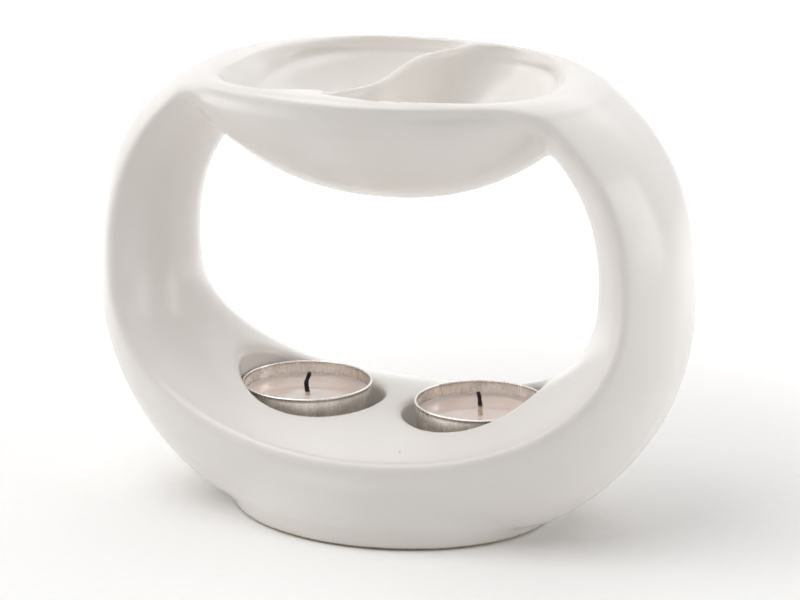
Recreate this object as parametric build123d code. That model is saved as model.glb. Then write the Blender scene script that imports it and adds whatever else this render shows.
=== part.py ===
from build123d import *
import math
import os

# Essential oil burner: a white glazed ceramic loop with an oil bowl on top, split by an S wall
# into two wells, and a platform below that holds two tealights in round recesses.
# Millimetres, Z up, X across the loop, Y through it. The origin is on the table under the foot.

# Loop, seen from the front
loop_half_width = 88.5
crown_height = 133.4
platform_edge_height = 24.0
platform_drop = 49.0
platform_thickness = 32.0
arm_thickness = 13.5
lip_camber = 5.6
crown_flattening = 9.2
lip_flattening = 12.2
underside_height = 4.0
outline_power = 2.28
flatten_power = 28.0

# Loop, through its depth
arm_half_depth = 25.0
platform_half_depth = 42.5
lip_half_depth = 46.0
shoulder_length = 28.5
lip_blend_power = 6.0
edge_radius = 5.0
inside_swell = 3.0
section_count = 21
steps_past = 4

# Bowl under the lip
bowl_depth = 35.4
bowl_centre_rise = 2.2
bowl_end_inset = 2.5
bowl_side_inset = 0.7
bowl_seat_drop = 2.0

# Wells inside the bowl
lip_rise = 2.8
lip_wall = 6.5
shoulder_width = 19.0
well_depth = 31.0
well_profile_power = 2.4
well_level_shares = [0.95, 0.88, 0.75, 0.55, 0.35]
shoulder_flare = 15.0
shoulder_flare_drop = 12.0
flare_level_shares = [1, 0.6, 0.25, 0.06, 0]
well_corner_radius = 2.0
lip_fillet = 0.8

# S wall between the wells
divider_thickness = 3.0
divider_drop = 0.6
divider_swing = 15.4
divider_hook_share = 0.47
divider_root = 2.0
divider_fillet = 1.2

# Foot
foot_half_length = 47.5
foot_side_inset = 3.0
foot_height = 7.0
foot_flare = 2.2
foot_drum_height = 20.0
foot_drum_flare = 2.6
foot_ring_width = 6.0
foot_hollow_depth = 3.5
foot_fillet = 1.0

# Tealight recesses in the platform
recess_offset = 25.5
recess_radius = 21.2
recess_edge_depth = 5.0
recess_fillet = 1.5

# Tealights: each stands off the middle of its recess, against the outer side
cup_radius = 19.0
cup_foot_radius = 18.2
cup_height = 16.0
cup_wall = 0.4
cup_corner_radius = 1.5
cup_rim_radius = 0.5
wax_depth = 11.0
wax_gap = 0.05
wax_climb = 0.6
wax_climb_width = 2.5
tab_radius = 6.5
tab_thickness = 0.4
neck_radius = 1.5
neck_height = 3.5
wick_radius = 0.75
wick_length = 17.5
wick_straight_share = 0.72
side_sign = {"left": -1, "right": 1}
cup_shift = {"left": 1.6, "right": 1.4}
wick_lean = {"left": 1.6, "right": -0.7}

# Sizes that follow from those above
loop_centre_height = platform_edge_height + platform_drop
loop_under_drop = platform_drop + platform_thickness
edge_half_width = loop_half_width - arm_thickness
lip_edge_height = crown_height - lip_camber
loop_crown_rise = crown_height + crown_flattening - loop_centre_height
edge_crown_rise = lip_edge_height + lip_flattening - loop_centre_height
lip_half_length = loop_half_width - shoulder_length
bowl_centre_height = lip_edge_height + bowl_centre_rise
bowl_half_length = lip_half_length - bowl_end_inset
bowl_half_depth = lip_half_depth - bowl_side_inset
lip_height = lip_edge_height + lip_rise
well_half_length = lip_half_length - shoulder_width
well_half_depth = lip_half_depth - lip_wall
divider_height = lip_height - divider_drop
foot_half_depth = platform_half_depth - foot_side_inset
recess_floor_height = platform_edge_height - recess_edge_depth
recess_reach = platform_drop - recess_edge_depth
overrun = 5.0
touching = 0.01
mouth_probe_shares = [0.2, 0.5, 0.8]
hanging = (Align.CENTER, Align.CENTER, Align.MAX)
standing = (Align.CENTER, Align.CENTER, Align.MIN)


def superellipse_radius(angle, half_width, half_height):
    """Distance from the loop's centre to a rounded oval at this angle."""
    across = abs(math.cos(angle)) / half_width
    upward = abs(math.sin(angle)) / half_height
    return (across**outline_power + upward**outline_power) ** (-1 / outline_power)


def flattened(radius, angle, level):
    """Radius drawn in softly where it would pass a level face that far from the centre."""
    reach = abs(math.sin(angle)) / level
    return (radius**-flatten_power + reach**flatten_power) ** (-1 / flatten_power)


def edge_distance(angle):
    """Radius at which the loop's front and back edges lie."""
    if angle > 0:
        oval = superellipse_radius(angle, edge_half_width, edge_crown_rise)
        return flattened(oval, angle, lip_edge_height - loop_centre_height)
    return superellipse_radius(angle, edge_half_width, platform_drop)


def outer_distance(angle):
    """Radius of the loop's outside on its middle plane."""
    if angle > 0:
        oval = superellipse_radius(angle, loop_half_width, loop_crown_rise)
        return flattened(oval, angle, crown_height - loop_centre_height)
    return superellipse_radius(angle, loop_half_width, loop_under_drop)


def half_depth(angle):
    """Half of the loop's depth: slim at the arms, wider at the platform and the lip."""
    if angle > 0:
        across = min(edge_distance(angle) * abs(math.cos(angle)) / lip_half_length, 1)
        lip = lip_half_depth * math.sqrt(1 - across**2)
        return (arm_half_depth**lip_blend_power + lip**lip_blend_power) ** (1 / lip_blend_power)
    return arm_half_depth + (platform_half_depth - arm_half_depth) * math.sin(angle) ** 2


def loop_section(angle):
    """Lens section of the loop: softly swollen inside, round edges, bulging outside."""
    edge = edge_distance(angle)
    depth = half_depth(angle)
    bulge = outer_distance(angle) - edge
    face = edge - edge_radius
    flat = depth - edge_radius
    points = [(edge, -depth), (face, -flat), (face - inside_swell, 0), (face, flat), (edge, depth)]
    lean = 2 * inside_swell / flat
    tangents = [(-1, 0), (-lean, 1), (0, 1), (lean, 1), (1, 0)]
    outline = Spline(points, tangents=tangents)
    outline += EllipticalCenterArc((edge, 0), bulge, depth, -90, arc_size=180)
    across = (math.cos(angle), 0, math.sin(angle))
    along = (-math.sin(angle), 0, math.cos(angle))
    plane = Plane((0, 0, loop_centre_height), x_dir=across, z_dir=along)
    return make_face(plane * outline)


def loop():
    """The whole band: one smooth half, drawn some steps past the middle plane, and its mirror image."""
    step = math.pi / (section_count - 1)
    angles = [index * step - math.pi / 2 for index in range(-steps_past, section_count + steps_past)]
    half = loft([loop_section(angle) for angle in angles])
    half = split(half, Plane.YZ, keep=Keep.TOP)
    return half + mirror(half, Plane.YZ)


def bowl_oval(inset):
    """Whole oval that the bowl is the lower part of, drawn in by an inset."""
    stretch = (bowl_half_length / bowl_depth, bowl_half_depth / bowl_depth, 1)
    return Pos(0, 0, bowl_centre_height) * scale(Sphere(bowl_depth - inset), stretch)


def bowl():
    """Oval bowl that hangs in the loop, cut off level inside the lip."""
    seat = lip_edge_height - bowl_seat_drop
    block = Box(2 * lip_half_length, 2 * lip_half_depth, loop_centre_height, align=hanging)
    return bowl_oval(0) & (Pos(0, 0, seat) * block)


def foot():
    """Oval drum, a little wider upwards, that the loop stands on."""
    levels = {0: 0, foot_height: foot_flare, foot_drum_height: foot_drum_flare}
    ovals = [
        Pos(0, 0, height) * Ellipse(foot_half_length + flare, foot_half_depth + flare)
        for height, flare in levels.items()
    ]
    return loft(ovals)


def foot_hollow():
    """Shallow oval recess that leaves a standing ring under the foot."""
    oval = Ellipse(foot_half_length - foot_ring_width, foot_half_depth - foot_ring_width)
    return extrude(oval, foot_hollow_depth)


def well_oval(height):
    """Level section of the bowl's inside, flaring over the shoulders near the top."""
    drop = max(lip_height - height, 0) / well_depth
    share = (1 - drop**well_profile_power) ** (1 / well_profile_power)
    rise = max(height - crown_height + shoulder_flare_drop, 0) / shoulder_flare_drop
    flare = shoulder_flare * (1 - math.sqrt(1 - rise**2))
    return Pos(0, 0, height) * Ellipse(well_half_length * share + flare, well_half_depth * share)


def bowl_inside():
    """Hollow of the bowl before the S wall divides it, drawn past the crown."""
    heights = [lip_height - well_depth * share for share in well_level_shares]
    heights += [crown_height - shoulder_flare_drop * share for share in flare_level_shares]
    hollow = loft([well_oval(height) for height in heights])
    return hollow + extrude(well_oval(crown_height), overrun)


def divider():
    """S wall across the bowl with a round crest, the same from the front as from the back."""
    reach = well_half_depth + divider_thickness
    ends = [(-divider_swing, -reach), (0, -reach * divider_hook_share)]
    points = ends + [(0, 0)] + [(-x, -y) for x, y in reversed(ends)]
    wall = extrude(trace(Spline(points), divider_thickness), divider_height)
    sides = wall.edges().filter_by_position(Axis.Z, divider_height - touching, divider_height + touching)
    wall = fillet([edge for edge in sides if edge.length > reach], divider_fillet)
    return wall & bowl_oval(divider_root)


def divided(body):
    """The body with the S wall set into its bowl, blended where the two meet below the rim."""
    wall = divider()
    hollow = bowl_inside()
    body += wall
    foot_of_wall = [
        edge
        for edge in body.edges()
        if edge.length > divider_thickness
        and (edge @ 0.5).Z < divider_height
        and wall.distance_to(edge @ 0.5) < touching
        and hollow.distance_to(edge @ 0.5) < touching
    ]
    return fillet(foot_of_wall, well_corner_radius)


def recess(side):
    """Round socket in the platform for one tealight."""
    socket = Cylinder(recess_radius, recess_reach, align=standing)
    return Pos(side_sign[side] * recess_offset, 0, recess_floor_height) * socket


def is_recess_mouth(edge):
    """Whether an edge is the upper end of a recess: on its wall, above its floor, and not a seam."""
    spots = [edge @ share for share in mouth_probe_shares]
    reaches = [math.hypot(abs(spot.X) - recess_offset, spot.Y) for spot in spots]
    on_wall = all(abs(reach - recess_radius) < touching for reach in reaches)
    above = all(spot.Z > recess_floor_height + touching for spot in spots)
    return on_wall and above and edge.geom_type != GeomType.LINE


def burner_body():
    """The ceramic piece: loop, bowl and foot in one, with its wells and recesses."""
    body = split(loop(), Plane.XY.offset(underside_height), keep=Keep.TOP)
    body += [bowl(), foot()]
    body -= foot_hollow()
    body = fillet(body.edges().filter_by_position(Axis.Z, -touching, touching), foot_fillet)
    body -= bowl_inside()
    high = [edge for edge in body.edges() if (edge @ 0.5).Z > lip_edge_height]
    rim = [edge for edge in high if edge.length > well_half_depth]
    body = divided(fillet(rim, lip_fillet))
    body -= [recess(side) for side in side_sign]
    return fillet([edge for edge in body.edges() if is_recess_mouth(edge)], recess_fillet)


def tealight_place(side):
    """Where a tealight stands: on its recess floor, pushed outwards from the middle."""
    return Pos(side_sign[side] * (recess_offset + cup_shift[side]), 0, recess_floor_height)


def cup():
    """Thin drawn cup, a little wider upwards, with a rolled rim."""
    foot_inside = cup_foot_radius - cup_corner_radius
    mouth_inside = cup_radius - cup_wall
    profile = Polyline((foot_inside, 0), (0, 0), (0, cup_wall), (foot_inside, cup_wall))
    profile += RadiusArc(
        (foot_inside, cup_wall),
        (cup_foot_radius - cup_wall, cup_corner_radius),
        -(cup_corner_radius - cup_wall),
    )
    profile += Polyline(
        (cup_foot_radius - cup_wall, cup_corner_radius),
        (mouth_inside, cup_height),
        (cup_radius, cup_height),
        (cup_foot_radius, cup_corner_radius),
    )
    profile += RadiusArc((cup_foot_radius, cup_corner_radius), (foot_inside, 0), cup_corner_radius)
    shell = revolve(Plane.XZ * make_face(profile), Axis.Z)
    rim = Torus(cup_radius - cup_wall / 2, cup_rim_radius)
    return shell + Pos(0, 0, cup_height - cup_rim_radius) * rim


def wick_tab():
    """Pressed metal disc on the cup's floor, with a neck that grips the wick."""
    disc = Cylinder(tab_radius, tab_thickness, align=standing)
    neck = Cylinder(neck_radius, neck_height, align=standing)
    bore = Cylinder(wick_radius, neck_height, align=standing)
    tab = disc + neck - Pos(0, 0, tab_thickness) * bore
    return Pos(0, 0, cup_wall) * tab


def wick(side):
    """Braided wick: straight out of its neck, then bent over where it has burnt."""
    foot_level = cup_wall + tab_thickness
    bend = (0, 0, foot_level + wick_length * wick_straight_share)
    tip = (wick_lean[side], 0, foot_level + wick_length)
    path = Line((0, 0, foot_level), bend) + TangentArc(bend, tip, tangent=(0, 0, 1))
    return sweep(Pos(0, 0, foot_level) * Circle(wick_radius), path)


def wax(side):
    """Melted wax: level in the middle, climbing a little where it wets the cup."""
    level = cup_wall + wax_depth
    slope = (cup_radius - cup_foot_radius) / (cup_height - cup_corner_radius)
    low = cup_foot_radius - cup_wall - wax_gap
    high = low + slope * (level + wax_climb - cup_corner_radius)
    profile = Polyline(
        (0, level),
        (0, cup_wall),
        (cup_foot_radius - cup_corner_radius - wax_gap, cup_wall),
        (low, cup_corner_radius),
        (high, level + wax_climb),
    )
    wetted = (high, level + wax_climb)
    calm = (high - wax_climb_width, level)
    profile += Spline(wetted, calm, tangents=[(-1, -1), (-1, 0)])
    profile += Line(calm, (0, level))
    return revolve(Plane.XZ * make_face(profile), Axis.Z) - [wick_tab(), wick(side)]


def main():
    """Build every piece in its place and write one file for each."""
    os.makedirs("parts", exist_ok=True)
    nodes = {"burner_body": burner_body()}
    for side in side_sign:
        place = tealight_place(side)
        nodes[f"{side}_tealight_cup"] = place * cup()
        nodes[f"{side}_tealight_wax"] = place * wax(side)
        nodes[f"{side}_tealight_wick"] = place * wick(side)
        nodes[f"{side}_wick_tab"] = place * wick_tab()
    for name, solid in nodes.items():
        export_step(solid, f"parts/{name}.step")


main()
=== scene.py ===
"""Essential oil burner: a glazed ceramic loop with a divided oil bowl and two tealights.

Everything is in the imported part's frame: X across the loop, Y through it, Z up, origin on the
table under the foot. Sizes are written in millimetres and turned into metres when a mesh is made.
"""

import logging
from collections.abc import Callable
from dataclasses import dataclass
from enum import Enum
from typing import Any

import bpy
import numpy as np
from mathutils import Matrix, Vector


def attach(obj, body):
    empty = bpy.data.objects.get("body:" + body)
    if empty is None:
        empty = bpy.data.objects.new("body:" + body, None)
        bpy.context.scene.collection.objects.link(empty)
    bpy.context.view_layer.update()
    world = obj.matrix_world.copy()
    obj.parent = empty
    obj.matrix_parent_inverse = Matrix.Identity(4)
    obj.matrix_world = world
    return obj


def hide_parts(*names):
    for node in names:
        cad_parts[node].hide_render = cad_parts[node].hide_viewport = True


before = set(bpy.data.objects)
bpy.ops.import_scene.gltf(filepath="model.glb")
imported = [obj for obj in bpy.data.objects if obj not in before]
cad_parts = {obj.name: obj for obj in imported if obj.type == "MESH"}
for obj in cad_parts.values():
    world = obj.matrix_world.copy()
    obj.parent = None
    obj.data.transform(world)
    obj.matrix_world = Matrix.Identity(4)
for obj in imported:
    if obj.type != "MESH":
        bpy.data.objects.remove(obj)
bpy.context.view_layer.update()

MM = 0.001
Grid = np.ndarray
Field = Callable[[Grid, Grid, Grid], Grid]
log = logging.getLogger("oil_burner")


class Side(Enum):
    """The two tealights, by the sign of their place on X."""

    LEFT = -1
    RIGHT = 1

    @property
    def label(self) -> str:
        """Lower-case word used in the names of pieces and bodies."""
        return self.name.lower()


def linear(colour: str) -> tuple[float, float, float, float]:
    """Turn an sRGB hex colour into linear light.

    Args:
        colour: six hex digits, such as "EFE8E2".

    Returns:
        Red, green, blue and an alpha of 1.
    """
    coded = np.array([int(colour[i : i + 2], 16) for i in (0, 2, 4)]) / 255
    light = np.where(coded <= 0.04045, coded / 12.92, ((coded + 0.055) / 1.055) ** 2.4)
    return (*light.tolist(), 1.0)


def per_metre(spacing_mm: float) -> float:
    """Scale for a texture on Object coordinates whose features lie this far apart."""
    return 1 / (spacing_mm * MM)


def add_node(
    tree: bpy.types.NodeTree,
    kind: str,
    settings: dict[str, Any] | None = None,
    values: dict[Any, Any] | None = None,
    links: dict[Any, bpy.types.NodeSocket] | None = None,
) -> bpy.types.Node:
    """Add a node, set it up and link its inputs.

    Args:
        tree: node tree that gets the node.
        kind: Blender's type name for the node.
        settings: attributes of the node itself.
        values: constants for input sockets, by name or number.
        links: output sockets that feed input sockets, by name or number.

    Returns:
        The new node.
    """
    node = tree.nodes.new(kind)
    for name, value in (settings or {}).items():
        setattr(node, name, value)
    for name, value in (values or {}).items():
        node.inputs[name].default_value = value
    for name, socket in (links or {}).items():
        tree.links.new(socket, node.inputs[name])
    return node


def add_ramp(
    tree: bpy.types.NodeTree, source: bpy.types.NodeSocket, stops: dict[float, str]
) -> bpy.types.NodeSocket:
    """Colour a value by a ramp.

    Args:
        tree: node tree that gets the ramp.
        source: value from 0 to 1.
        stops: sRGB hex colours by their place on the ramp, in rising order.

    Returns:
        The ramp's colour output.
    """
    node = add_node(tree, "ShaderNodeValToRGB", links={"Fac": source})
    elements = node.color_ramp.elements
    while len(elements) < len(stops):
        elements.new(0.5)
    for element, (place, colour) in zip(elements, stops.items()):
        element.position = place
        element.color = linear(colour)
    return node.outputs["Color"]


def new_material(name: str) -> tuple[bpy.types.Material, bpy.types.NodeTree, bpy.types.NodeSocket]:
    """Start a node material with only an output and Object coordinates.

    Args:
        name: the real substance, in plain words.

    Returns:
        The material, its tree and the Object coordinate socket.
    """
    material = bpy.data.materials.new(name)
    material.use_nodes = True
    tree = material.node_tree
    tree.nodes.clear()
    coordinates = add_node(tree, "ShaderNodeTexCoord")
    return material, tree, coordinates.outputs["Object"]


def finish_material(
    tree: bpy.types.NodeTree, values: dict[str, Any], links: dict[str, bpy.types.NodeSocket]
) -> None:
    """Add the surface shader and connect it.

    Args:
        tree: node tree of the material.
        values: constants of the shader.
        links: sockets that drive the shader.
    """
    shader = add_node(tree, "ShaderNodeBsdfPrincipled", values=values, links=links)
    add_node(tree, "ShaderNodeOutputMaterial", links={"Surface": shader.outputs["BSDF"]})


def soft_max(a: Grid, b: Grid, reach: float) -> Grid:
    """Larger of two fields, rounded where they are within reach: max + (reach - |a - b|)^2 / (4 reach)."""
    overlap = np.maximum(reach - np.abs(a - b), 0)
    return np.maximum(a, b) + overlap**2 / (4 * reach)


def soft_min(a: Grid, b: Grid, reach: float) -> Grid:
    """Smaller of two fields, rounded where they are within reach."""
    return -soft_max(-a, -b, reach)


def oval_distance(*axes: tuple[Grid, Grid | float], power: Grid | float = 2.0) -> Grid:
    """Distance to an oval, right to first order near it: (s - 1) / |grad s|, with s the sum of |c/h|^power.

    Args:
        axes: coordinate c and half size h for each axis.
        power: 2 for an ellipse or ellipsoid, more for a fuller oval and less for a sharper one.

    Returns:
        Distance in millimetres, negative inside.
    """
    deepest = -25.0
    shares = [np.abs(place) / half + 1e-9 for place, half in axes]
    spread = sum(share**power for share in shares)
    slope = np.sqrt(sum((power * share ** (power - 1) / half) ** 2 for share, (_, half) in zip(shares, axes)))
    return np.maximum((spread - 1) / (slope + 1e-6), deepest)


def surface_net(field: Field, low: Grid, high: Grid, cell: float) -> tuple[Grid, Grid]:
    """Mesh the zero level of a field with one vertex in each lattice cell that it crosses.

    A vertex is the mean of the crossings on its cell's edges, and each lattice edge that the level
    crosses gives one quad through the four cells around it.

    Args:
        field: field in millimetres, negative inside.
        low: lowest corner of the lattice.
        high: highest corner of the lattice.
        cell: lattice spacing.

    Returns:
        Vertices in millimetres and quads that face outwards.
    """
    lines = [np.arange(a, b + cell, cell) for a, b in zip(low, high)]
    value = field(*np.meshgrid(*lines, indexing="ij"))
    inside = value < 0
    size = np.array(value.shape)
    corners = np.array([(i, j, k) for i in (0, 1) for j in (0, 1) for k in (0, 1)])
    windows = [tuple(slice(c, n - 1 + c) for c, n in zip(corner, size)) for corner in corners]
    filled = sum(inside[window].astype(int) for window in windows)
    crossed = (filled > 0) & (filled < len(corners))
    cells = np.argwhere(crossed)
    number = np.full(crossed.shape, -1)
    number[crossed] = np.arange(len(cells))
    total = np.zeros((len(cells), 3))
    count = np.zeros((len(cells), 1))
    steps = np.eye(3, dtype=int)
    for axis in range(3):
        for corner in corners[corners[:, axis] == 0]:
            near = value[tuple((cells + corner).T)]
            far = value[tuple((cells + corner + steps[axis]).T)]
            hit = ((near < 0) != (far < 0))[:, None]
            share = (near / np.where(near == far, 1, near - far))[:, None]
            total += np.where(hit, corner + share * steps[axis], 0)
            count += hit
    vertices = (cells + total / count) * cell + low
    quads = []
    for axis in range(3):
        first, second = steps[(axis + 1) % 3], steps[(axis + 2) % 3]
        end = size - 1 - (size - 2) * 0
        end[axis] = size[axis] - 1
        start = first + second
        window = tuple(slice(s, e) for s, e in zip(start, end))
        ahead = tuple(slice(s + d, e + d) for s, e, d in zip(start, end, steps[axis]))
        edges = np.argwhere(inside[window] != inside[ahead]) + start
        ring = [number[tuple((edges - back).T)] for back in (first + second, second, 0 * first, first)]
        ring = np.stack(ring, axis=1)
        outward = inside[tuple(edges.T)][:, None]
        quads.append(np.where(outward, ring, ring[:, ::-1]))
    return vertices, np.concatenate(quads)


def slope_of(field: Field, points: Grid, step: float = 0.02) -> Grid:
    """Gradient of a field at points, by differences over a small step."""
    shifts = np.eye(3) * step
    sides = [field(*(points + s).T) - field(*(points - s).T) for s in shifts]
    return np.stack(sides, axis=1) / (2 * step)


def settle(field: Field, points: Grid, cell: float, rounds: int = 3) -> Grid:
    """Move points onto the zero level of a field by Newton steps along its gradient.

    Args:
        field: field in millimetres.
        points: points near the level.
        cell: longest step allowed.
        rounds: number of steps.

    Returns:
        The moved points.
    """
    for _ in range(rounds):
        slope = slope_of(field, points)
        steep = np.maximum((slope**2).sum(axis=1, keepdims=True), 1e-4)
        move = field(*points.T)[:, None] * slope / steep
        length = np.linalg.norm(move, axis=1, keepdims=True)
        points = points - move * np.minimum(1, cell / np.maximum(length, 1e-9))
    return points


def tube_faces(rings: int, around: int) -> list[tuple[int, ...]]:
    """Faces of a grid of closed rings between two poles: a fan, bands of quads and a fan.

    Args:
        rings: number of rings.
        around: points on each ring.

    Returns:
        Faces by vertex number, with the first pole at 0 and the last pole at the end.
    """
    here = np.arange(around)
    after = np.roll(here, -1)
    ring = 1 + np.arange(rings - 1)[:, None] * around
    bands = np.stack([ring + here, ring + after, ring + around + after, ring + around + here], axis=-1)
    last = 1 + (rings - 1) * around
    start = np.stack([0 * here, 1 + after, 1 + here], axis=-1)
    end = np.stack([last + here, last + after, 0 * here + last + around], axis=-1)
    return [*map(tuple, start.tolist()), *map(tuple, bands.reshape(-1, 4).tolist()), *map(tuple, end.tolist())]


def rounded_path(points: Grid, per_span: int) -> Grid:
    """Smooth curve through profile points: a cubic through each span with slopes from its neighbours.

    Args:
        points: corner points, one row each.
        per_span: samples on each span.

    Returns:
        Points along the curve, the corner points among them.
    """
    padded = np.concatenate([points[:1], points, points[-1:]])
    before, start, end, after = padded[:-3], padded[1:-2], padded[2:-1], padded[3:]
    t = np.linspace(0, 1, per_span, endpoint=False)[None, :, None]
    lean_in = ((end - before) / 2)[:, None]
    lean_out = ((after - start) / 2)[:, None]
    start, end = start[:, None], end[:, None]
    curve = (2 * t**3 - 3 * t**2 + 1) * start + (t**3 - 2 * t**2 + t) * lean_in
    curve = curve + (3 * t**2 - 2 * t**3) * end + (t**3 - t**2) * lean_out
    return np.concatenate([curve.reshape(-1, points.shape[1]), points[-1:]])


def make_piece(
    name: str, vertices: Grid, faces: Any, material: bpy.types.Material, body: str, nodes: tuple[str, ...]
) -> bpy.types.Object:
    """Put a computed surface into the scene as a piece of the object.

    Args:
        name: name of the piece.
        vertices: points in millimetres, in the part's frame.
        faces: faces by vertex number.
        material: its finish.
        body: body of the part that it moves with.
        nodes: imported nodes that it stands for.

    Returns:
        The new object.
    """
    mesh = bpy.data.meshes.new(name)
    mesh.from_pydata((vertices * MM).tolist(), [], faces)
    mesh.polygons.foreach_set("use_smooth", np.ones(len(mesh.polygons), dtype=bool))
    mesh.materials.append(material)
    mesh.validate()
    piece = bpy.data.objects.new(name, mesh)
    bpy.context.scene.collection.objects.link(piece)
    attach(piece, body)
    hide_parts(*nodes)
    log.info("%s: %d vertices, %d faces, rides on %s", name, len(mesh.vertices), len(mesh.polygons), body)
    return piece


@dataclass(frozen=True)
class GlazedCeramic:
    """White earthenware, slip cast and dipped in a satin glaze.

    The glaze gives soft broad highlights and a very faint waviness. It thins over crests, where the
    body warms it, pools in hollows, and leaves a few pinholes. The foot's edge is wiped bare.
    """

    glaze: str = "F2EEEA"
    thin_glaze: str = "ECE6E0"
    pooled_glaze: str = "F7F4F1"
    pinhole: str = "B5A99F"
    bare_clay: str = "B7A78C"
    roughness: float = 0.22
    wave_spacing: float = 16.0
    grain_spacing: float = 1.1
    pinhole_spacing: float = 21.0
    pinhole_radius: float = 0.42
    bare_height: float = 1.1
    bare_wander: float = 0.7

    def material(self, relief: str) -> bpy.types.Material:
        """Make the finish.

        Args:
            relief: name of the mesh attribute that holds 0 in hollows and 1 on crests.

        Returns:
            The material.
        """
        material, tree, place = new_material("satin_glazed_white_earthenware")
        waves = add_node(
            tree, "ShaderNodeTexNoise", values={"Scale": per_metre(self.wave_spacing), "Detail": 3.0},
            links={"Vector": place},
        ).outputs["Fac"]
        grain = add_node(
            tree, "ShaderNodeTexNoise", values={"Scale": per_metre(self.grain_spacing), "Detail": 4.0},
            links={"Vector": place},
        ).outputs["Fac"]
        crest = add_node(tree, "ShaderNodeAttribute", {"attribute_name": relief}).outputs["Fac"]
        blotched = add_node(
            tree, "ShaderNodeMath", {"operation": "MULTIPLY_ADD"}, {1: 0.3, 2: -0.15}, {0: waves}
        ).outputs["Value"]
        thickness = add_node(tree, "ShaderNodeMath", {"operation": "ADD"}, links={0: crest, 1: blotched})
        coat = add_ramp(
            tree, thickness.outputs["Value"], {0.1: self.pooled_glaze, 0.5: self.glaze, 0.95: self.thin_glaze}
        )
        spots = add_node(
            tree, "ShaderNodeTexVoronoi", values={"Scale": per_metre(self.pinhole_spacing)}, links={"Vector": place}
        ).outputs["Distance"]
        edge = self.pinhole_radius / self.pinhole_spacing
        pinholes = add_node(
            tree, "ShaderNodeMapRange", {"interpolation_type": "SMOOTHSTEP"},
            {"From Min": edge, "From Max": edge / 3, "To Min": 0.0, "To Max": 1.0}, {"Value": spots},
        ).outputs["Result"]
        pocked = add_node(
            tree, "ShaderNodeMix", {"data_type": "RGBA"}, {7: linear(self.pinhole)}, {0: pinholes, 6: coat}
        ).outputs[2]
        height = add_node(tree, "ShaderNodeSeparateXYZ", links={"Vector": place}).outputs["Z"]
        wandering = add_node(
            tree, "ShaderNodeMath", {"operation": "MULTIPLY_ADD"}, {1: -2 * self.bare_wander * MM},
            {0: waves, 2: height},
        ).outputs["Value"]
        level = (self.bare_height - self.bare_wander) * MM
        bare = add_node(
            tree, "ShaderNodeMapRange", {"interpolation_type": "SMOOTHSTEP"},
            {"From Min": level, "From Max": level - 0.6 * MM, "To Min": 0.0, "To Max": 1.0}, {"Value": wandering},
        ).outputs["Result"]
        colour = add_node(
            tree, "ShaderNodeMix", {"data_type": "RGBA"}, {7: linear(self.bare_clay)}, {0: bare, 6: pocked}
        ).outputs[2]
        gloss = add_node(
            tree, "ShaderNodeMath", {"operation": "MULTIPLY_ADD"}, {1: 0.1, 2: self.roughness - 0.05}, {0: waves}
        ).outputs["Value"]
        roughness = add_node(
            tree, "ShaderNodeMix", {"data_type": "FLOAT"}, {3: 0.85}, {0: bare, 2: gloss}
        ).outputs[0]
        wavy = add_node(
            tree, "ShaderNodeBump", values={"Strength": 0.12, "Distance": 0.25 * MM}, links={"Height": waves}
        ).outputs["Normal"]
        grainy = add_node(
            tree, "ShaderNodeBump", values={"Strength": 0.1, "Distance": 0.02 * MM},
            links={"Height": grain, "Normal": wavy},
        ).outputs["Normal"]
        pitted = add_node(
            tree, "ShaderNodeBump", {"invert": True}, {"Strength": 0.6, "Distance": 0.15 * MM},
            {"Height": pinholes, "Normal": grainy},
        ).outputs["Normal"]
        finish_material(
            tree, {"IOR": 1.5}, {"Base Color": colour, "Roughness": roughness, "Normal": pitted}
        )
        return material


@dataclass(frozen=True)
class DrawnAluminium:
    """Thin aluminium sheet, drawn into a cup: faint streaks up the wall and dull small dents."""

    bright: str = "EDE9E5"
    dull: str = "D9D4CE"
    roughness: float = 0.27
    streak_spacing: float = 0.9
    dent_spacing: float = 5.0

    def material(self) -> bpy.types.Material:
        """Make the finish.

        Returns:
            The material, which reads the piece's UV map: U around the cup and V up its wall, in metres.
        """
        material, tree, place = new_material("drawn_aluminium_sheet")
        around = add_node(tree, "ShaderNodeUVMap").outputs["UV"]
        stretched = add_node(
            tree, "ShaderNodeMapping", values={"Scale": (1.0, 0.08, 1.0)}, links={"Vector": around}
        ).outputs["Vector"]
        streaks = add_node(
            tree, "ShaderNodeTexNoise", values={"Scale": per_metre(self.streak_spacing), "Detail": 3.0},
            links={"Vector": stretched},
        ).outputs["Fac"]
        dents = add_node(
            tree, "ShaderNodeTexNoise", values={"Scale": per_metre(self.dent_spacing), "Detail": 2.0},
            links={"Vector": place},
        ).outputs["Fac"]
        mixed = add_node(
            tree, "ShaderNodeMath", {"operation": "MULTIPLY_ADD"}, {1: 0.5}, {0: streaks, 2: dents}
        ).outputs["Value"]
        colour = add_ramp(tree, mixed, {0.55: self.dull, 0.9: self.bright})
        roughness = add_node(
            tree, "ShaderNodeMath", {"operation": "MULTIPLY_ADD"}, {1: 0.08, 2: self.roughness - 0.04}, {0: streaks}
        ).outputs["Value"]
        dented = add_node(
            tree, "ShaderNodeBump", values={"Strength": 0.12, "Distance": 0.2 * MM}, links={"Height": dents}
        ).outputs["Normal"]
        streaked = add_node(
            tree, "ShaderNodeBump", values={"Strength": 0.015, "Distance": 0.05 * MM},
            links={"Height": streaks, "Normal": dented},
        ).outputs["Normal"]
        finish_material(
            tree, {"Metallic": 1.0}, {"Base Color": colour, "Roughness": roughness, "Normal": streaked}
        )
        return material


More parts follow.
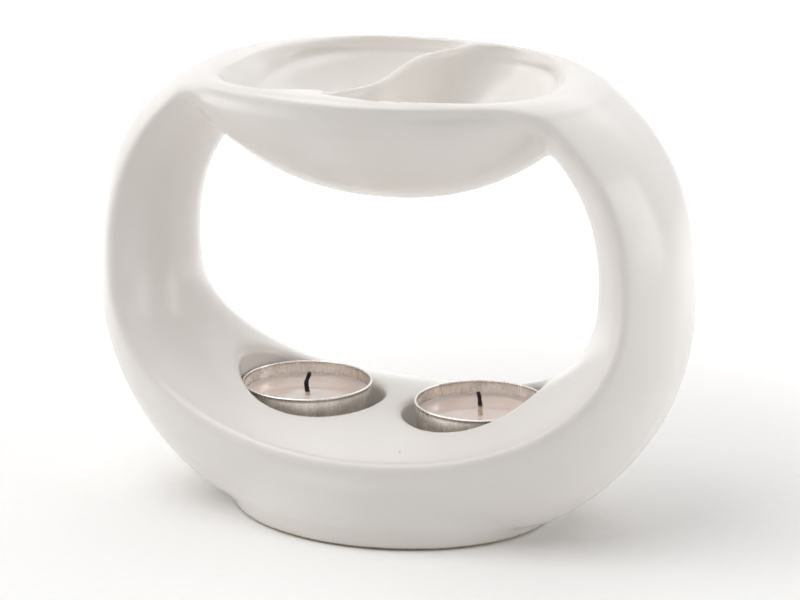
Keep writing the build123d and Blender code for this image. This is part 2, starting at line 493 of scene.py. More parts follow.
@dataclass(frozen=True)
class MeltedParaffin:
    """Paraffin wax with a melted top: a mirror-flat clear film over milky wax, painted darker and warmer towards the
    cup's wall as shade at the edge of the pool.
    """

    milky: str = "FBF2ED"
    # Darker, warmer tone painted towards the cup's wall as shade at the pool's edge.
    painted_rim_shade: str = "F4E0D6"
    cloud_spacing: float = 11.0
    roughness: float = 0.05

    def material(self, centre: tuple[float, float], reach: float) -> bpy.types.Material:
        """Make the finish.

        Args:
            centre: X and Y of the wick in millimetres.
            reach: radius of the wax, in millimetres.

        Returns:
            The material, milky around the wick and painted darker and warmer towards the cup's wall, as shade at the
            edge of the pool.
        """
        material, tree, place = new_material("melted_paraffin_wax")
        clouds = add_node(
            tree, "ShaderNodeTexNoise", values={"Scale": per_metre(self.cloud_spacing), "Detail": 4.0},
            links={"Vector": place},
        ).outputs["Fac"]
        centred = add_node(
            tree, "ShaderNodeMapping", values={"Location": (-centre[0] * MM, -centre[1] * MM, 0.0)},
            links={"Vector": place},
        ).outputs["Vector"]
        flat = add_node(
            tree, "ShaderNodeVectorMath", {"operation": "MULTIPLY"}, {1: (1.0, 1.0, 0.0)}, {0: centred}
        ).outputs["Vector"]
        distance = add_node(tree, "ShaderNodeVectorMath", {"operation": "LENGTH"}, links={0: flat}).outputs["Value"]
        # Painted shade: the wax darkens and warms with distance from the wick, standing in for the shaded ring at the
        # cup's wall.
        share = add_node(
            tree, "ShaderNodeMath", {"operation": "MULTIPLY_ADD"}, {1: 0.8 / (reach * MM)}, {0: distance, 2: clouds}
        ).outputs["Value"]
        colour = add_ramp(tree, share, {0.4: self.milky, 1.25: self.painted_rim_shade})
        roughness = add_node(
            tree, "ShaderNodeMath", {"operation": "MULTIPLY_ADD"}, {1: 0.04, 2: self.roughness - 0.02}, {0: clouds}
        ).outputs["Value"]
        rippled = add_node(
            tree, "ShaderNodeBump", values={"Strength": 0.05, "Distance": 0.1 * MM}, links={"Height": clouds}
        ).outputs["Normal"]
        finish_material(
            tree,
            {"IOR": 1.44, "Subsurface Weight": 0.35, "Subsurface Radius": (0.004, 0.003, 0.0024), "Subsurface Scale": 1.0},
            {"Base Color": colour, "Roughness": roughness, "Normal": rippled},
        )
        return material


@dataclass(frozen=True)
class BurntCotton:
    """Braided cotton wick: cream and wax-soaked at its foot, charred black above, ash-grey at the tip."""

    cotton: str = "E7D3BE"
    scorched: str = "6B4A34"
    char: str = "17120F"
    ash: str = "3A3430"
    fibre_spacing: float = 0.35

    def material(self, foot: float, tip: float, pale_share: float) -> bpy.types.Material:
        """Make the finish.

        Args:
            foot: height of the wax in millimetres.
            tip: height of the wick's end in millimetres.
            pale_share: share of the length above the wax that is unburnt.

        Returns:
            The material.
        """
        material, tree, place = new_material("charred_cotton_braid")
        fibres = add_node(
            tree, "ShaderNodeTexNoise", values={"Scale": per_metre(self.fibre_spacing), "Detail": 3.0},
            links={"Vector": place},
        ).outputs["Fac"]
        height = add_node(tree, "ShaderNodeSeparateXYZ", links={"Vector": place}).outputs["Z"]
        share = add_node(
            tree, "ShaderNodeMapRange", values={"From Min": foot * MM, "From Max": tip * MM}, links={"Value": height}
        ).outputs["Result"]
        frayed = add_node(
            tree, "ShaderNodeMath", {"operation": "MULTIPLY_ADD"}, {1: 0.12, 2: -0.06}, {0: fibres}
        ).outputs["Value"]
        burnt = add_node(tree, "ShaderNodeMath", {"operation": "ADD"}, links={0: share, 1: frayed}).outputs["Value"]
        colour = add_ramp(
            tree, burnt,
            {
                pale_share * 0.8: self.cotton,
                pale_share: self.scorched,
                pale_share + 0.06: self.char,
                0.9: self.char,
                1.0: self.ash,
            },
        )
        rough = add_node(
            tree, "ShaderNodeBump", values={"Strength": 0.8, "Distance": 0.15 * MM}, links={"Height": fibres}
        ).outputs["Normal"]
        finish_material(tree, {"Roughness": 0.85}, {"Base Color": colour, "Normal": rough})
        return material


@dataclass(frozen=True)
class Tinplate:
    """Stamped tin-coated steel: a grey metal with fine rolling lines along X."""

    light: str = "A9A7A3"
    dark: str = "86837F"
    line_spacing: float = 0.5

    def material(self) -> bpy.types.Material:
        """Make the finish.

        Returns:
            The material.
        """
        material, tree, place = new_material("stamped_tinplate")
        rolled = add_node(
            tree, "ShaderNodeMapping", values={"Scale": (0.06, 1.0, 1.0)}, links={"Vector": place}
        ).outputs["Vector"]
        lines = add_node(
            tree, "ShaderNodeTexNoise", values={"Scale": per_metre(self.line_spacing), "Detail": 2.0},
            links={"Vector": rolled},
        ).outputs["Fac"]
        colour = add_ramp(tree, lines, {0.3: self.dark, 0.7: self.light})
        roughness = add_node(
            tree, "ShaderNodeMath", {"operation": "MULTIPLY_ADD"}, {1: 0.2, 2: 0.25}, {0: lines}
        ).outputs["Value"]
        finish_material(tree, {"Metallic": 1.0}, {"Base Color": colour, "Roughness": roughness})
        return material


@dataclass(frozen=True)
class BurnerBody:
    """The ceramic casting: loop, bowl with its S wall, platform and foot. Sizes in millimetres."""

    loop_centre_height: float = 73.0
    loop_half_width: float = 88.5
    loop_crown_rise: float = 69.6
    loop_under_drop: float = 81.0
    edge_half_width: float = 77.3
    edge_crown_rise: float = 67.0
    platform_drop: float = 48.2
    crown_height: float = 133.7
    lip_edge_height: float = 127.8
    underside_height: float = 4.0
    outline_power: float = 2.28
    flatten_power: float = 28.0
    arm_half_depth: float = 27.5
    platform_half_depth: float = 42.5
    spread_power: float = 1.3
    lip_half_length: float = 60.0
    lip_half_depth: float = 46.0
    lip_blend_power: float = 6.0
    lip_fullness: float = 2.5
    arm_lens_power: float = 2.7
    platform_lens_power: float = 3.4
    edge_thickness: float = 1.6
    arm_swell: float = 12.6
    lip_swell: float = 3.0
    platform_swell: float = 5.4
    lip_margin: float = 3.4
    bowl_centre_height: float = 130.0
    bowl_half_length: float = 63.0
    bowl_half_depth: float = 45.9
    bowl_depth: float = 35.6
    bowl_plan_power: float = 2.2
    bowl_drop_power: float = 1.346
    bowl_top_height: float = 125.8
    well_top_height: float = 130.6
    well_half_length: float = 51.0
    well_half_depth: float = 41.3
    well_depth: float = 31.0
    well_side_power: float = 1.7
    well_end_power: float = 0.85
    divider_thickness: float = 2.2
    divider_draft: float = 0.12
    divider_height: float = 130.7
    divider_offset: float = 1.5
    divider_bend: float = 20.0
    divider_swing: float = 13.4
    divider_tail: float = 4.0
    divider_tail_power: float = 16.0
    divider_reach: float = 41.0
    foot_half_length: float = 47.5
    foot_half_depth: float = 39.5
    foot_height: float = 7.0
    foot_flare: float = 2.2
    foot_drum_height: float = 20.0
    foot_drum_flare: float = 2.6
    foot_ring_width: float = 6.0
    foot_hollow_depth: float = 3.5
    recess_offset: float = 25.5
    recess_radius: float = 21.2
    recess_floor_height: float = 19.0
    edge_blend: float = 3.0
    lip_edge_blend: float = 4.6
    armpit_blend: float = 3.0
    foot_blend: float = 3.0
    lip_blend: float = 1.4
    shoulder_blend: float = 8.0
    shoulder_start: float = 20.0
    shoulder_run: float = 34.0
    crest_blend: float = 2.2
    well_corner_blend: float = 9.0
    recess_blend: float = 2.6
    base_blend: float = 2.0
    cell: float = 1.15
    lattice_low: tuple[float, float, float] = (-90.3, -48.61, -2.52)
    lattice_high: tuple[float, float, float] = (90.3, 48.1, 136.0)
    relief_reach: float = 5.0

    def oval_radius(self, angle: Grid, half_width: float, half_height: float) -> Grid:
        """Radius of a superellipse: (|cos|/w)^p + (|sin|/h)^p to the power -1/p."""
        power = self.outline_power
        across = (np.abs(np.cos(angle)) / half_width) ** power
        upward = (np.abs(np.sin(angle)) / half_height) ** power
        return (across + upward) ** (-1 / power)

    def flattened(self, radius: Grid, angle: Grid, level: float) -> Grid:
        """Radius drawn in softly where it would pass a level face: a power mean of the two radii."""
        power = self.flatten_power
        return ((1 / radius) ** power + (np.abs(np.sin(angle)) / level) ** power) ** (-1 / power)

    def loop_field(self, x: Grid, y: Grid, z: Grid) -> Grid:
        """Field of the loop, by its section in the half plane through its centre line.

        The outside is a lens, bulge (1 - |y/depth|^power), which turns into a flatter oval cap along
        the lip. The inside is a shallow parabola across the depth, and they meet in round edges.

        Args:
            x: across the loop.
            y: through it.
            z: up.

        Returns:
            About the distance in millimetres, negative inside.
        """
        up = z - self.loop_centre_height
        angle = np.arctan2(up, np.abs(x))
        upper = angle > 0
        on_platform = np.where(upper, 0, np.abs(np.sin(angle)) ** self.spread_power)
        edge = np.where(
            upper,
            self.flattened(
                self.oval_radius(angle, self.edge_half_width, self.edge_crown_rise),
                angle,
                self.lip_edge_height - self.loop_centre_height,
            ),
            self.oval_radius(angle, self.edge_half_width, self.platform_drop),
        )
        outer = np.where(
            upper,
            self.flattened(
                self.oval_radius(angle, self.loop_half_width, self.loop_crown_rise),
                angle,
                self.crown_height - self.loop_centre_height,
            ),
            self.oval_radius(angle, self.loop_half_width, self.loop_under_drop),
        )
        along_lip = np.minimum(edge * np.abs(np.cos(angle)) / self.lip_half_length, 1)
        lip = self.lip_half_depth * np.sqrt(1 - along_lip**2)
        power = self.lip_blend_power
        depth = np.where(
            upper,
            (self.arm_half_depth**power + lip**power) ** (1 / power),
            self.arm_half_depth + (self.platform_half_depth - self.arm_half_depth) * on_platform,
        )
        out = np.hypot(x, up) - edge
        on_lip = np.where(upper, 1 - along_lip**2, 0)
        power = self.arm_lens_power + (self.platform_lens_power - self.arm_lens_power) * on_platform
        share = np.abs(y) / depth
        bulge = outer - edge
        slope = bulge * power / depth * share ** (power - 1)
        lens = (out - bulge * (1 - share**power)) / np.sqrt(1 + slope**2)
        cap = oval_distance((np.maximum(out, 0), bulge), (y, depth), power=self.lip_fullness)
        outside = lens + (cap - lens) * on_lip
        swell = (
            self.arm_swell
            + (self.lip_swell - self.arm_swell) * on_lip
            + (self.platform_swell - self.arm_swell) * on_platform
        )
        reach = depth - self.edge_thickness - self.lip_margin * on_lip
        fall = 2 * swell * y / reach**2
        inside = -(out + self.edge_thickness + swell * (1 - (y / reach) ** 2)) / np.sqrt(1 + fall**2)
        rounding = self.edge_blend + (self.lip_edge_blend - self.edge_blend) * on_lip
        band = soft_max(outside, inside, rounding)
        return soft_max(band, self.underside_height - z, self.foot_blend)

    def hollow_oval(
        self, places: tuple[Grid, Grid, Grid], halves: tuple[float, float], depth: float, drop_power: Grid | float
    ) -> Grid:
        """Field of a round-bottomed oval: |x/a|^n + |y/b|^n + (down/depth)^k - 1, over the size of its slope.

        Args:
            places: x, y and the distance down from the oval's level, which is 0 above it.
            halves: half length a and half depth b at that level.
            depth: how far down it reaches.
            drop_power: k, which is above 1 for steep sides and below 1 for sides that run out level.

        Returns:
            About the distance in millimetres, negative inside.
        """
        (x, y, down), (length, width), power = places, halves, self.bowl_plan_power
        across, through = np.abs(x) / length, np.abs(y) / width
        sunk = np.maximum(down / depth, 0)
        level = across**power + through**power + sunk**drop_power - 1
        steep_out = power * np.hypot(across ** (power - 1) / length, through ** (power - 1) / width)
        steep_down = drop_power * np.maximum(sunk, 0.02) ** (drop_power - 1) / depth
        return np.maximum(level / np.sqrt(steep_out**2 + steep_down**2 + 1e-8), -25)

    def bowl_field(self, x: Grid, y: Grid, z: Grid) -> Grid:
        """Field of the bowl's outside, a round-bottomed oval cut off level under the lip."""
        halves = self.bowl_half_length, self.bowl_half_depth
        down = np.maximum(self.bowl_centre_height - z, 0)
        shell = self.hollow_oval((x, y, down), halves, self.bowl_depth, self.bowl_drop_power)
        return soft_max(shell, z - self.bowl_top_height, self.armpit_blend)

    def foot_field(self, x: Grid, y: Grid, z: Grid) -> Grid:
        """Field of the foot: an oval drum that widens upwards, with a round lower edge."""
        flare = np.interp(
            z, [0, self.foot_height, self.foot_drum_height], [0, self.foot_flare, self.foot_drum_flare]
        )
        drum = oval_distance((x, self.foot_half_length + flare), (y, self.foot_half_depth + flare))
        return soft_max(soft_max(drum, -z, self.base_blend), z - self.foot_drum_height, self.foot_blend)

    def foot_hollow_field(self, x: Grid, y: Grid, z: Grid) -> Grid:
        """Field of the shallow oval hollow inside the standing ring."""
        oval = oval_distance(
            (x, self.foot_half_length - self.foot_ring_width), (y, self.foot_half_depth - self.foot_ring_width)
        )
        return soft_max(oval, z - self.foot_hollow_depth, self.base_blend)

    def well_field(self, x: Grid, y: Grid, z: Grid) -> Grid:
        """Field of both wells: a hollow whose ends run out over the shoulders, less the S wall.

        The wall's middle line is the S curve c + a s (s^2 - b) + t s^p with s the share of its reach, so
        that its ends run into the lip. Its distance is the offset from that line over sqrt(1 + slope^2).

        Args:
            x: across the loop.
            y: through it.
            z: up.

        Returns:
            About the distance in millimetres, negative inside a well.
        """
        halves = self.well_half_length, self.well_half_depth
        down = np.maximum(self.well_top_height - z, 0)
        endwise = (x / halves[0]) ** 2 / ((x / halves[0]) ** 2 + (y / halves[1]) ** 2 + 1e-6)
        drop_power = self.well_side_power + (self.well_end_power - self.well_side_power) * endwise
        hollow = self.hollow_oval((x, y, down), halves, self.well_depth, drop_power)
        share = y / self.divider_reach
        bend = (self.divider_bend / self.divider_reach) ** 2
        swing = self.divider_swing / (1 - bend)
        tail = self.divider_tail * np.abs(share) ** (self.divider_tail_power - 1)
        middle = self.divider_offset + swing * share * (share**2 - bend) + tail * share
        lean = (swing * (3 * share**2 - bend) + self.divider_tail_power * tail) / self.divider_reach
        half = self.divider_thickness / 2 + self.divider_draft * np.maximum(self.divider_height - z, 0)
        wall = np.abs(x - middle) / np.sqrt(1 + lean**2) - half
        wall = soft_max(wall, z - self.divider_height, self.crest_blend)
        return soft_max(hollow, -wall, self.well_corner_blend)

    def recess_field(self, x: Grid, y: Grid, z: Grid) -> Grid:
        """Field of the two tealight recesses: upright cylinders with a flat floor."""
        round_wall = np.hypot(np.abs(x) - self.recess_offset, y) - self.recess_radius
        socket = soft_max(round_wall, self.recess_floor_height - z, self.base_blend)
        return np.maximum(socket, z - self.loop_centre_height)

    def field(self, x: Grid, y: Grid, z: Grid) -> Grid:
        """Field of the whole casting: loop, bowl and foot run together, less the hollows."""
        body = soft_min(self.loop_field(x, y, z), self.bowl_field(x, y, z), self.armpit_blend)
        body = soft_min(body, self.foot_field(x, y, z), self.foot_blend)
        body = soft_max(body, -self.foot_hollow_field(x, y, z), self.base_blend)
        shoulder = np.clip((np.abs(x) - self.shoulder_start) / self.shoulder_run, 0, 1)
        rim = self.lip_blend + (self.shoulder_blend - self.lip_blend) * shoulder**2 * (3 - 2 * shoulder)
        body = soft_max(body, -self.well_field(x, y, z), rim)
        return soft_max(body, -self.recess_field(x, y, z), self.recess_blend)

    def relief(self, points: Grid) -> Grid:
        """How far each point stands on a crest: the field's mean over a small cross, as 0 to 1.

        Args:
            points: points on the surface.

        Returns:
            About 0.5 on flat ground, more on crests and less in hollows.
        """
        reach = self.relief_reach
        shifts = np.concatenate([np.eye(3), -np.eye(3)]) * reach
        mean = sum(self.field(*(points + shift).T) for shift in shifts) / len(shifts)
        return np.clip(0.5 + mean / reach, 0, 1).astype(np.float32)

    def build(self, ceramic: GlazedCeramic) -> bpy.types.Object:
        """Mesh the casting and dress it.

        The casting has a hole through it and hollows in it, so no one grid of two parameters covers
        it: it is the zero level of a field on a lattice, settled onto that level.

        Args:
            ceramic: its finish.

        Returns:
            The piece.
        """
        low, high = np.array(self.lattice_low), np.array(self.lattice_high)
        vertices, quads = surface_net(self.field, low, high, self.cell)
        vertices = settle(self.field, vertices, self.cell)
        material = ceramic.material("relief")
        piece = make_piece("ceramic_body", vertices, quads.tolist(), material, "burner", ("burner_body",))
        relief = piece.data.attributes.new("relief", "FLOAT", "POINT")
        relief.data.foreach_set("value", self.relief(vertices))
        outward = slope_of(self.field, vertices)
        outward /= np.linalg.norm(outward, axis=1, keepdims=True)
        piece.data.normals_split_custom_set_from_vertices(outward.tolist())
        return piece


@dataclass(frozen=True)
class Tealight:
    """One tealight: a drawn cup, melted wax, a burnt wick and its tab. Sizes in millimetres."""

    side: Side
    x: float
    wick_lean: float
    wick_sway: float
    pale_share: float
    floor_height: float = 19.0
    cup_radius: float = 19.0
    cup_foot_radius: float = 18.2
    cup_height: float = 16.0
    cup_wall: float = 0.4
    cup_corner: float = 1.5
    bead_radius: float = 0.34
    wax_depth: float = 11.0
    wax_gap: float = 0.06
    wax_climb: float = 0.9
    wick_radius: float = 0.72
    wick_length: float = 17.5
    wick_foot: float = 0.8
    char_shrink: float = 0.3
    around: int = 256

    @property
    def body(self) -> str:
        """Name of the body that this tealight is."""
        return f"{self.side.label}_tealight"

    def turned(self, profile: Grid, ripple: Grid | float = 0.0) -> Grid:
        """Turn a profile about the cup's axis: (r cos a, r sin a, z), with r moved by a ripple.

        Args:
            profile: radius and height of each ring, with the poles as its first and last rows.
            ripple: change of radius on each ring and angle.

        Returns:
            Vertices in the part's frame, poles first and last.
        """
        angle = np.linspace(0, 2 * np.pi, self.around, endpoint=False)
        radius = profile[1:-1, :1] + ripple
        height = np.broadcast_to(profile[1:-1, 1:], (len(profile) - 2, self.around))
        rings = np.stack([radius * np.cos(angle), radius * np.sin(angle), height], axis=-1).reshape(-1, 3)
        poles = np.array([[0, 0, profile[0, 1]], [0, 0, profile[-1, 1]]])
        points = np.concatenate([poles[:1], rings, poles[1:]])
        return points + np.array([self.x, 0, self.floor_height])

    def cup_profile(self) -> Grid:
        """Outline of the cup from the middle of its underside, up, round the bead and down inside.

        Returns:
            Radius and height of each ring.
        """
        quarter = np.linspace(0, np.pi / 2, 7)[:, None]
        corner, wall = self.cup_corner, self.cup_wall
        centre = np.array([self.cup_foot_radius - corner, corner])
        outer = centre + corner * np.hstack([np.sin(quarter), -np.cos(quarter)])
        inner = centre + (corner - wall) * np.hstack([np.sin(quarter), -np.cos(quarter)])
        bead_centre = np.array([self.cup_radius - wall / 2, self.cup_height - self.bead_radius])
        turn = np.linspace(-0.35 * np.pi, 1.35 * np.pi, 19)[:, None]
        bead = bead_centre + self.bead_radius * np.hstack([np.cos(turn), np.sin(turn)])
        rise = np.linspace(0.06, 0.94, 14)[:, None]
        outside = outer[-1] + rise * (bead[0] - outer[-1])
        inside = bead[-1] + rise * (inner[-1] - bead[-1])
        underside = np.linspace(0, centre[0], 6)[:-1, None] * [1, 0]
        floor = np.linspace(centre[0], 0, 6)[1:, None] * [1, 0] + [0, wall]
        return np.concatenate([underside, outer, outside, bead, inside, inner[::-1], floor])

    def cup_ripple(self, profile: Grid) -> Grid:
        """Small folds that drawing leaves in the wall: sums of waves round it, strongest near the rim.

        Args:
            profile: radius and height of each ring, poles included.

        Returns:
            Change of radius for each inner ring and angle.
        """
        angle = np.linspace(0, 2 * np.pi, self.around, endpoint=False)
        phase = 0.9 * self.side.value
        dents = 0.04 * np.sin(5 * angle + phase) + 0.025 * np.sin(11 * angle - 2 * phase)
        folds = 0.006 * np.sin(47 * angle + 3 * np.sin(3 * angle + phase))
        share = profile[1:-1, 1:] / self.cup_height
        on_wall = np.clip((profile[1:-1, :1] - self.cup_foot_radius + self.cup_corner) / self.cup_corner, 0, 1)
        below_bead = np.clip((1 - share) / 0.1, 0, 1)
        return on_wall * (dents * share + folds * share**3 * below_bead)

    def build_cup(self, metal: DrawnAluminium) -> bpy.types.Object:
        """Make the cup with its UV map: arc length round the cup and length up its outline, in metres."""
        profile = self.cup_profile()
        vertices = self.turned(profile, self.cup_ripple(profile))
        faces = tube_faces(len(profile) - 2, self.around)
        name = f"{self.side.label}_cup"
        piece = make_piece(
            name, vertices, faces, metal.material(), self.body, (f"{self.body}_cup",)
        )
        length = np.concatenate([[0], np.cumsum(np.linalg.norm(np.diff(profile, axis=0), axis=1))])
        along = np.concatenate([length[:1], np.repeat(length[1:-1], self.around), length[-1:]])
        flat = vertices[:, :2] - [self.x, 0]
        arc = np.arctan2(flat[:, 1], flat[:, 0]) * self.cup_radius
        corner = np.empty(len(piece.data.loops), dtype=np.int32)
        piece.data.loops.foreach_get("vertex_index", corner)
        layer = piece.data.uv_layers.new(name="UVMap")
        layer.data.foreach_set("uv", (np.stack([arc, along], axis=1)[corner] * MM).astype(np.float32).ravel())
        return piece

    def build_wax(self, paraffin: MeltedParaffin) -> bpy.types.Object:
        """Make the wax: a plug that fills the cup, flat on top, climbing the wall by an exponential curve."""
        level = self.cup_wall + self.wax_depth
        widen = (self.cup_radius - self.cup_foot_radius) / (self.cup_height - self.cup_corner)
        low = self.cup_foot_radius - self.cup_wall - self.wax_gap
        top_radius = low + widen * (level - self.cup_corner)
        inwards = np.linspace(0, 1, 26)[:, None] ** 1.6
        radius = top_radius * (1 - inwards)
        climb = self.wax_climb * np.exp(-(top_radius - radius) / 0.9)
        top = np.hstack([radius, level + climb])
        side_height = np.linspace(self.cup_corner, level + 0.7 * self.wax_climb, 8)[:, None]
        side = np.hstack([low + widen * (side_height - self.cup_corner), side_height])
        base_radius = np.linspace(0, self.cup_foot_radius - self.cup_corner - self.wax_gap, 6)[:, None]
        base = np.hstack([base_radius, np.full_like(base_radius, self.cup_wall + self.wax_gap / 4)])
        profile = np.concatenate([base, side, top])
        vertices = self.turned(profile)
        faces = tube_faces(len(profile) - 2, self.around)
        material = paraffin.material((self.x, 0.0), top_radius)
        name = f"{self.side.label}_wax"
        return make_piece(name, vertices, faces, material, self.body, (f"{self.body}_wax",))

    def build_wick(self, cotton: BurntCotton) -> bpy.types.Object:
        """Make the wick: a three-strand braid's outline carried along a bent path, thinner where charred.

        The radius is r (1 + a |sin|-like lobes that turn with the length), shrinking to a rounded tip.
        """
        level = self.cup_wall + self.wax_depth
        tip = self.wick_foot + self.wick_length
        bends = np.array(
            [
                [0, 0, self.wick_foot],
                [0, 0, level - 2],
                [0.1 * self.wick_lean, 0, level + 0.5],
                [0.25 * self.wick_lean + self.wick_sway, -0.1, level + 0.45 * (tip - level)],
                [0.7 * self.wick_lean + self.wick_sway, 0.05, level + 0.75 * (tip - level)],
                [self.wick_lean, 0, tip],
            ]
        )
        path = rounded_path(bends, 24)
        count, around = len(path), 36
        angle = np.linspace(0, 2 * np.pi, around, endpoint=False)
        share = np.linspace(0, 1, count)[:, None]
        turn = 9 * np.pi * share
        lobes = 0.1 * np.cos(3 * (angle + turn)) + 0.05 * np.cos(5 * (angle - 1.4 * turn))
        burnt = np.clip((path[:, 2:] - level) / (tip - level), 0, 1)
        ends = np.sqrt(np.clip(1 - np.abs(2 * share - 1) ** 60, 0.02, 1))
        crumbled = 0.12 * burnt * np.sin(23 * share + 2 * np.sin(angle))
        radius = self.wick_radius * (1 - self.char_shrink * burnt + lobes + crumbled) * ends
        along = np.gradient(path, axis=0)
        along /= np.linalg.norm(along, axis=1, keepdims=True)
        first = np.cross(np.array([0.0, 1.0, 0.0]), along)
        first /= np.linalg.norm(first, axis=1, keepdims=True)
        second = np.cross(along, first)
        ring = np.cos(angle)[None, :, None] * first[:, None] + np.sin(angle)[None, :, None] * second[:, None]
        rings = (path[:, None] + radius[..., None] * ring).reshape(-1, 3)
        points = np.concatenate([path[:1], rings, path[-1:]]) + np.array([self.x, 0, self.floor_height])
        base = self.floor_height
        material = cotton.material(base + level, base + tip, self.pale_share)
        name = f"{self.side.label}_wick"
        return make_piece(
            name, points, tube_faces(count, around), material, self.body, (f"{self.body}_wick",)
        )

    def dress_tab(self, tin: Tinplate) -> None:
        """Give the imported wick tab, which keeps its own shape, its finish."""
        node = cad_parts[f"{self.side.label}_wick_tab"]
        node.data.materials.clear()
        node.data.materials.append(tin.material())
        log.info("%s: packed shape kept, dressed", node.name)

    def build(self) -> None:
        """Make and dress every piece of the tealight."""
        self.build_cup(DrawnAluminium())
        self.build_wax(MeltedParaffin())
        self.build_wick(BurntCotton())
        self.dress_tab(Tinplate())


@dataclass(frozen=True)
class Softbox:
    """A large soft lamp: where it stands, what it points at, its size in metres and its power in watts."""

    name: str
    place: tuple[float, float, float]
    target: tuple[float, float, float]
    width: float
    height: float
    power: float

    def build(self) -> None:
        """Add the lamp to the scene."""
        light = bpy.data.lights.new(self.name, "AREA")
        light.shape = "RECTANGLE"
        light.size, light.size_y = self.width, self.height
        light.energy = self.power
        lamp = bpy.data.objects.new(self.name, light)
        lamp.location = self.place
        lamp.rotation_euler = (Vector(self.target) - Vector(self.place)).to_track_quat("-Z", "Y").to_euler()
        bpy.context.scene.collection.objects.link(lamp)


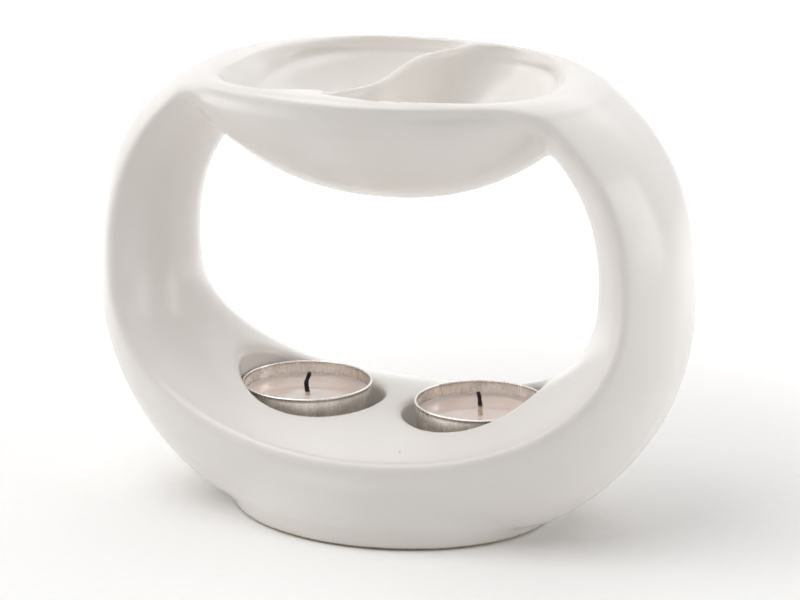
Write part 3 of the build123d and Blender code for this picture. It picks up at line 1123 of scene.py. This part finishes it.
@dataclass(frozen=True)
class Studio:
    """White table and surroundings, soft lamps at both sides and above, and the camera. In metres."""

    floor_size: float = 6.0
    floor_colour: str = "F7F6F4"
    shaded_glow: float = 0.05
    white_distance: tuple[float, float] = (0.12, 0.42)
    towards_back: tuple[float, float, float] = (-0.358, 0.934, 0.0)
    front_fill: float = 0.1
    back_fill: float = 0.5
    camera_place: tuple[float, float, float] = (0.33906, -0.88294, 0.33853)
    camera_target: tuple[float, float, float] = (0.00179, 0.00069, 0.06207)
    lens: float = 153.66
    sensor: float = 36.0
    lamps: tuple[Softbox, ...] = (
        Softbox("left_softbox", (-1.0, -0.3, 0.3), (0.0, 0.0, 0.07), 0.7, 0.9, 2.0),
        Softbox("right_softbox", (1.0, 0.12, 0.15), (0.0, 0.0, 0.07), 0.7, 0.9, 4.9),
        Softbox("main_softbox", (-0.4, -0.35, 1.0), (0.0, 0.0, 0.07), 1.1, 0.9, 6.7),
        Softbox("top_softbox", (-0.05, 0.1, 1.2), (0.0, 0.0, 0.07), 1.1, 0.9, 2.5),
        Softbox("back_softbox", (0.0, 0.95, 0.95), (0.0, 0.0, 0.07), 1.3, 0.7, 1.8),
    )

    def seen_directly(self, tree: bpy.types.NodeTree) -> bpy.types.NodeSocket:
        """Add nodes that give 1 on camera, glossy and transmission rays and 0 on the rest.

        Args:
            tree: node tree that gets them.

        Returns:
            The value's socket.
        """
        path = add_node(tree, "ShaderNodeLightPath").outputs
        mirrored = add_node(
            tree, "ShaderNodeMath", {"operation": "MAXIMUM"},
            links={0: path["Is Glossy Ray"], 1: path["Is Transmission Ray"]},
        ).outputs["Value"]
        return add_node(
            tree, "ShaderNodeMath", {"operation": "MAXIMUM"}, links={0: path["Is Camera Ray"], 1: mirrored}
        ).outputs["Value"]

    def build_world(self) -> None:
        """White surroundings: full white where they are seen, and as light dim in front and bright behind."""
        world = bpy.data.worlds.new("white_surroundings")
        bpy.context.scene.world = world
        world.use_nodes = True
        tree = world.node_tree
        tree.nodes.clear()
        direction = add_node(tree, "ShaderNodeTexCoord").outputs["Generated"]
        behind = add_node(
            tree, "ShaderNodeVectorMath", {"operation": "DOT_PRODUCT"}, {1: self.towards_back}, {0: direction}
        ).outputs["Value"]
        light = add_node(
            tree, "ShaderNodeMapRange", {"interpolation_type": "SMOOTHSTEP"},
            {"From Min": -1.0, "From Max": 1.0, "To Min": self.front_fill, "To Max": self.back_fill},
            {"Value": behind},
        ).outputs["Result"]
        strength = add_node(
            tree, "ShaderNodeMix", {"data_type": "FLOAT"}, {3: 1.0}, {0: self.seen_directly(tree), 2: light}
        ).outputs[0]
        glow = add_node(
            tree, "ShaderNodeBackground", values={"Color": (1.0, 1.0, 1.0, 1.0)}, links={"Strength": strength}
        )
        add_node(tree, "ShaderNodeOutputWorld", links={"Surface": glow.outputs["Background"]})

    def build_floor(self) -> None:
        """Flat table top, a grid of two parameters, lifted to full white away from the burner's shadow."""
        line = np.linspace(-self.floor_size / 2, self.floor_size / 2, 9)
        x, y = np.meshgrid(line, line, indexing="ij")
        corner = np.arange(72).reshape(8, 9)[:, :-1].ravel()
        mesh = bpy.data.meshes.new("table_top")
        points = np.stack([x.ravel(), y.ravel(), np.full(x.size, -0.00005)], axis=1)
        mesh.from_pydata(points.tolist(), [], np.stack([corner, corner + 9, corner + 10, corner + 1], axis=1).tolist())
        material, tree, place = new_material("matt_white_table")
        speckle = add_node(
            tree, "ShaderNodeTexNoise", values={"Scale": per_metre(3.0)}, links={"Vector": place}
        ).outputs["Fac"]
        colour = add_ramp(tree, speckle, {0.3: self.floor_colour, 0.7: "F9F8F7"})
        matt = add_node(tree, "ShaderNodeBsdfDiffuse", links={"Color": colour}).outputs["BSDF"]
        away = add_node(tree, "ShaderNodeVectorMath", {"operation": "LENGTH"}, links={0: place}).outputs["Value"]
        near, far = self.white_distance
        lift = add_node(
            tree, "ShaderNodeMapRange", {"interpolation_type": "SMOOTHSTEP"},
            {"From Min": near, "From Max": far, "To Min": self.shaded_glow, "To Max": 1.0}, {"Value": away},
        ).outputs["Result"]
        strength = add_node(
            tree, "ShaderNodeMath", {"operation": "MULTIPLY"}, links={0: lift, 1: self.seen_directly(tree)}
        ).outputs["Value"]
        glow = add_node(
            tree, "ShaderNodeEmission", values={"Color": (1.0, 1.0, 1.0, 1.0)}, links={"Strength": strength}
        ).outputs["Emission"]
        both = add_node(tree, "ShaderNodeAddShader", links={0: matt, 1: glow}).outputs["Shader"]
        add_node(tree, "ShaderNodeOutputMaterial", links={"Surface": both})
        mesh.materials.append(material)
        floor = bpy.data.objects.new("table_top", mesh)
        bpy.context.scene.collection.objects.link(floor)

    def build_camera(self) -> None:
        """Camera at the photograph's place, level, with its long lens."""
        lens = bpy.data.cameras.new("photo_camera")
        lens.lens = self.lens
        lens.sensor_width = self.sensor
        camera = bpy.data.objects.new("photo_camera", lens)
        camera.location = self.camera_place
        aim = Vector(self.camera_target) - Vector(self.camera_place)
        camera.rotation_euler = aim.to_track_quat("-Z", "Y").to_euler()
        bpy.context.scene.collection.objects.link(camera)
        bpy.context.scene.camera = camera

    def build(self) -> None:
        """Set up the surroundings, the table, the lamps and the camera."""
        bpy.context.scene.view_settings.view_transform = "Standard"
        self.build_world()
        self.build_floor()
        for lamp in self.lamps:
            lamp.build()
        self.build_camera()


def main() -> None:
    """Build the burner, its tealights and the studio, and report each piece."""
    logging.basicConfig(level=logging.INFO, format="%(name)s: %(message)s")
    BurnerBody().build(GlazedCeramic())
    Tealight(Side.LEFT, x=-27.1, wick_lean=1.0, wick_sway=-0.5, pale_share=0.14).build()
    Tealight(Side.RIGHT, x=26.9, wick_lean=-0.7, wick_sway=0.1, pale_share=0.42).build()
    Studio().build()


if __name__ == "__main__":
    main()
